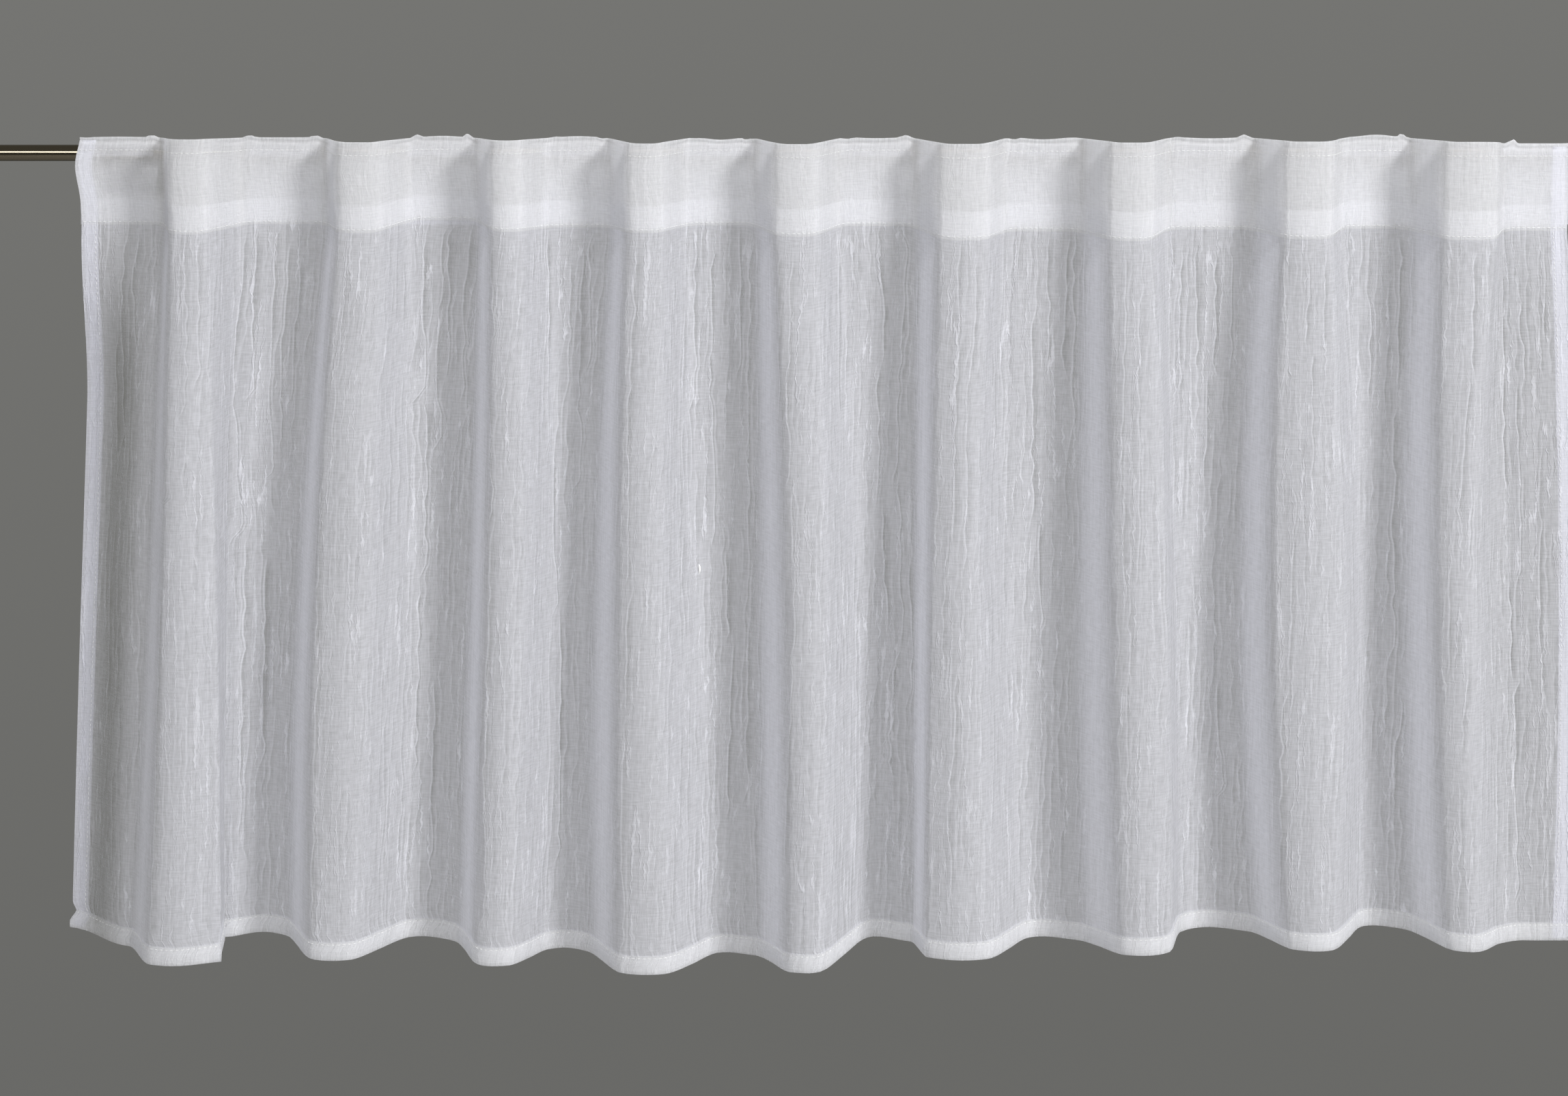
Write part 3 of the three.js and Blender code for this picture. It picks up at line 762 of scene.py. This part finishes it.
def loopPiece(number, left):
    t = np.linspace(1, 0, loopLook["columns"])
    y, z, hold = (values[:, None] for values in loopPath())
    far, tall = loopLook["wavy"]
    edge = far * latticeNoise(z / tall + 40 * number, 3.0 * (t > 0.5), 60)
    x = left + t * loopLook["wide"] + edge * (2 * t - 1) ** 4
    line = section(np.array([0.0]))
    behind = np.interp(x, line["x"][0], line["y"][0]) + headingSize["thick"]
    follow = np.minimum(0, behind + loopLook["outer"] + loopLook["clear"])
    high, wide, tall = loopLook["ripple"]
    ripple = high * latticeNoise(x / wide, z / tall, 61)
    points = np.stack(np.broadcast_arrays(x, y + hold * follow + ripple, z), axis=-1)
    way = travel(y[:, 0], z[:, 0])
    flat = np.stack(np.broadcast_arrays(t[None] * loopLook["wide"], way[:, None]), axis=-1)
    piece = clothPiece(f"loop{number:02d}", points, flat, {"densityAndPaintedLight": 0.0, "crinkled": 0.2}, voile)
    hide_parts(f"loop_{number:02d}")
    return piece


# A loop behind each back of the heading; the end ones are flush with the edges
headStart = np.hstack([leftEdge["line"][0], fold["fallHead"] + headingSize["flank"] / 2])
headStop = np.hstack([fold["riseHead"] - headingSize["flank"] / 2, rightEdge["line"][0]])
loopLeft = (headStart + headStop - loopLook["wide"]) / 2
loopLeft[0] = leftEdge["line"][0] - loopLook["overhang"]
loopLeft[-1] = rightEdge["line"][0] + loopLook["overhang"] - loopLook["wide"]
loops = [loopPiece(number, left) for number, left in enumerate(loopLeft, 1)]
print(len(loops), "loops made")

stitchLook = {
    "pitch": 3.1, "long": 2.3, "thick": 0.17,
    "rise": 1.5, "sink": 0.6, "tip": 0.4,  # in thicknesses: its arch, its ends in the cloth, their radius
    "rings": 5, "sides": 6,
}


# A row of stitches from their starts, their ends and the way out of the cloth. Each is a short
# tube, fat in the middle, that rises from the cloth and dips into it again.
def stitchPiece(name, start, end, out, thick=stitchLook["thick"]):
    rings, sides = stitchLook["rings"], stitchLook["sides"]
    run = end - start
    side = np.cross(run / np.linalg.norm(run, axis=1)[:, None], out)
    part = np.linspace(0, 1, rings)
    arch = np.sin(np.pi * part)
    above = thick * (stitchLook["rise"] * arch - stitchLook["sink"])
    centre = start[:, None] + part[:, None] * run[:, None] + above[:, None] * out[:, None]
    angle = np.linspace(0, 2 * np.pi, sides, endpoint=False)[:, None]
    ring = np.cos(angle) * side[:, None] + np.sin(angle) * out[:, None]
    radius = thick * mix(stitchLook["tip"], 1, arch)
    points = centre[:, :, None] + radius[:, None, None] * ring[:, None]
    first = np.arange(len(start))[:, None, None] * rings * sides
    quads = (first + gridQuads(rings, sides, wrap=True)).reshape(-1, 4)
    caps = first + np.stack([np.arange(sides), rings * sides - 1 - np.arange(sides)])
    return meshPiece(name, points.reshape(-1, 3), quads, sewingThread, caps.reshape(-1, sides))


# Rows of stitches across the cloth, and down the two side hems
def stitchAcross(name, level):
    count = int(cloth["flatWide"] / stitchLook["pitch"])
    middle = (np.arange(count) + 0.5) * stitchLook["pitch"]
    half = stitchLook["long"] / 2
    ends = np.stack([middle - half, middle + half], axis=-1).reshape(1, -1)
    points, out, _ = clothAt(ends, np.array([level]), np.zeros(1))
    return stitchPiece(name, points[0, ::2], points[0, 1::2], out[0, ::2])


def stitchDown(name, fromEdge):
    count = int((headingSize["seam"] - hemTop) / stitchLook["pitch"])
    middle = headingSize["seam"] - (np.arange(count) + 0.5) * stitchLook["pitch"]
    half = stitchLook["long"] / 2
    ends = np.stack([middle + half, middle - half], axis=-1).ravel()
    points, out, _ = clothAt(np.full((len(ends), 1), fromEdge), ends, 0 * ends)
    return stitchPiece(name, points[::2, 0], points[1::2, 0], out[::2, 0])


stitches = [stitchAcross(name + "Stitches", level) for name, level in stitchLines.items()]
fromSide = sideHemLook["wide"] - stitchInset
stitches.append(stitchDown("leftStitches", fromSide))
stitches.append(stitchDown("rightStitches", cloth["flatWide"] - fromSide))

slubLook = {"x": -76.5, "level": -250.0, "long": 6.5, "thick": 0.75}


# Slub: a thick place in one upright thread
def slubPiece():
    line = section(np.array([slubLook["level"]]))
    across = np.interp(slubLook["x"], line["x"][0], line["across"][0])
    ends = slubLook["level"] + np.array([0.5, -0.5]) * slubLook["long"]
    points, out, _ = clothAt(np.full((2, 1), across), ends, 0 * ends)
    return stitchPiece("slub", points[:1, 0], points[1:, 0], out[:1, 0], slubLook["thick"])


print(len(stitches), "rows of stitches made")
stitches.append(slubPiece())
print("slub made")

rodLook = {"radius": 5.0, "length": 1016.0, "bevel": 0.6, "sides": 64, "steps": 24}


# Rod: a circle carried along X, its radius drawn in at both ends by a quarter round
def rodPiece():
    bevel, radius, half = rodLook["bevel"], rodLook["radius"], rodLook["length"] / 2
    turn = np.linspace(0, np.pi / 2, 5)
    endX = half - bevel + bevel * np.cos(turn)
    endRadius = radius - bevel + bevel * np.sin(turn)
    middle = np.linspace(2 * bevel - half, half - 2 * bevel, rodLook["steps"])
    x = np.hstack([-endX, middle, endX[::-1]])[:, None]
    r = np.hstack([endRadius, 0 * middle + radius, endRadius[::-1]])[:, None]
    angle = np.linspace(0, 2 * np.pi, rodLook["sides"], endpoint=False)
    points = np.stack(np.broadcast_arrays(x, r * np.cos(angle), -r * np.sin(angle)), axis=-1)
    last = points.shape[0] * points.shape[1] - 1
    caps = np.stack([np.arange(len(angle)), last - np.arange(len(angle))])
    quads = gridQuads(*points.shape[:2], wrap=True)
    piece = meshPiece("steelRod", points.reshape(-1, 3), quads, satinSteel, caps)
    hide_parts("rod")
    return piece


steelRod = rodPiece()
print("rod made")

clothPieces = [voilePanel, heading, bottomHem, *sideHems, *loops]
for piece in [*clothPieces, *stitches]:
    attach(piece, "root")
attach(steelRod, "root")

floorLook = {  # sizes in metres
    "left": -1.6, "right": 1.6, "near": -1.4, "far": 0.5, "level": -0.95,
    "rows": 12, "cols": 20, "tone": (0.40, 0.46),
}


# Floor: a flat grid well below the curtain, matt grey with a faint cloudy tone
def floorPiece():
    x = np.linspace(floorLook["left"], floorLook["right"], floorLook["cols"])
    y = np.linspace(floorLook["far"], floorLook["near"], floorLook["rows"])[:, None]
    points = np.stack(np.broadcast_arrays(x, y, floorLook["level"]), axis=-1) / mm
    material, tree = newMaterial("greyFloor")
    place = addNode(tree, "TexCoord").outputs["Object"]
    cloudy = noiseNode(tree, place, (3.0, 3.0, 3.0), 4.0).outputs["Fac"]
    tone = rangeNode(tree, cloudy, floorLook["tone"])
    colour = addNode(tree, "CombineColor", {"Red": tone, "Green": tone, "Blue": tone}).outputs[0]
    face = addNode(tree, "BsdfPrincipled", {"Base Color": colour, "Roughness": 0.8}).outputs[0]
    addNode(tree, "OutputMaterial", {"Surface": face})
    return meshPiece("greyFloor", points.reshape(-1, 3), gridQuads(*points.shape[:2]), material)


floorPiece()
print("floor laid")

# Camera near the height of the rod, square to the curtain: metres, degrees and millimetres
cameraPlace = {"at": (-0.0245, -1.295, -0.013), "down": 4.0, "lens": 48.6, "shift": -0.144}
cameraData = bpy.data.cameras.new("camera")
cameraData.lens = cameraPlace["lens"]
cameraData.sensor_width = 36.0
cameraData.shift_y = cameraPlace["shift"]
camera = bpy.data.objects.new("camera", cameraData)
camera.location = cameraPlace["at"]
camera.rotation_euler = (math.radians(90 - cameraPlace["down"]), 0, 0)
bpy.context.scene.collection.objects.link(camera)
bpy.context.scene.camera = camera

lights = [  # name, degrees to the right of the camera, degrees up, metres away, width, height, watts
    ("key", 50.0, 26.0, 5.0, 1.03, 1.03, 230.0),
    ("front", 6.0, 40.0, 3.0, 2.6, 2.6, 50.0),
    ("fill", -27.0, 14.0, 3.5, 0.8, 0.9, 16.0),
]
lightTarget = (0.0, 0.0, -0.22)


def addLight(name, aside, up, away, wide, tall, watts):
    aside, up = math.radians(aside), math.radians(up)
    data = bpy.data.lights.new(name, "AREA")
    data.shape = "RECTANGLE"
    data.size = wide
    data.size_y = tall
    data.energy = watts
    light = bpy.data.objects.new(name, data)
    way = (math.sin(aside) * math.cos(up), -math.cos(aside) * math.cos(up), math.sin(up))
    light.location = [t + away * w for t, w in zip(lightTarget, way)]
    light.rotation_euler = (math.pi / 2 - up, 0, aside)
    bpy.context.scene.collection.objects.link(light)


for row in lights:
    addLight(*row)

# Grey studio, a little lighter above than below; from and to are heights of the view's direction
studioLook = {"from": -0.38, "to": 0.08, "below": 0.143, "above": 0.178, "blue": 0.95}
world = bpy.data.worlds.new("studio")
world.use_nodes = True
tree = world.node_tree
upward = addNode(tree, "SeparateXYZ", {0: addNode(tree, "TexCoord").outputs["Generated"]}).outputs["Z"]
shade = addNode(tree, "MapRange", {
    "Value": upward, "From Min": studioLook["from"], "From Max": studioLook["to"],
    "To Min": studioLook["below"], "To Max": studioLook["above"],
}).outputs[0]
blue = mathNode(tree, "MULTIPLY", shade, studioLook["blue"])
grey = addNode(tree, "CombineColor", {"Red": shade, "Green": shade, "Blue": blue}).outputs[0]
tree.links.new(grey, tree.nodes["Background"].inputs["Color"])
bpy.context.scene.world = world
bpy.context.scene.view_settings.view_transform = "Standard"
print("camera and lights set")
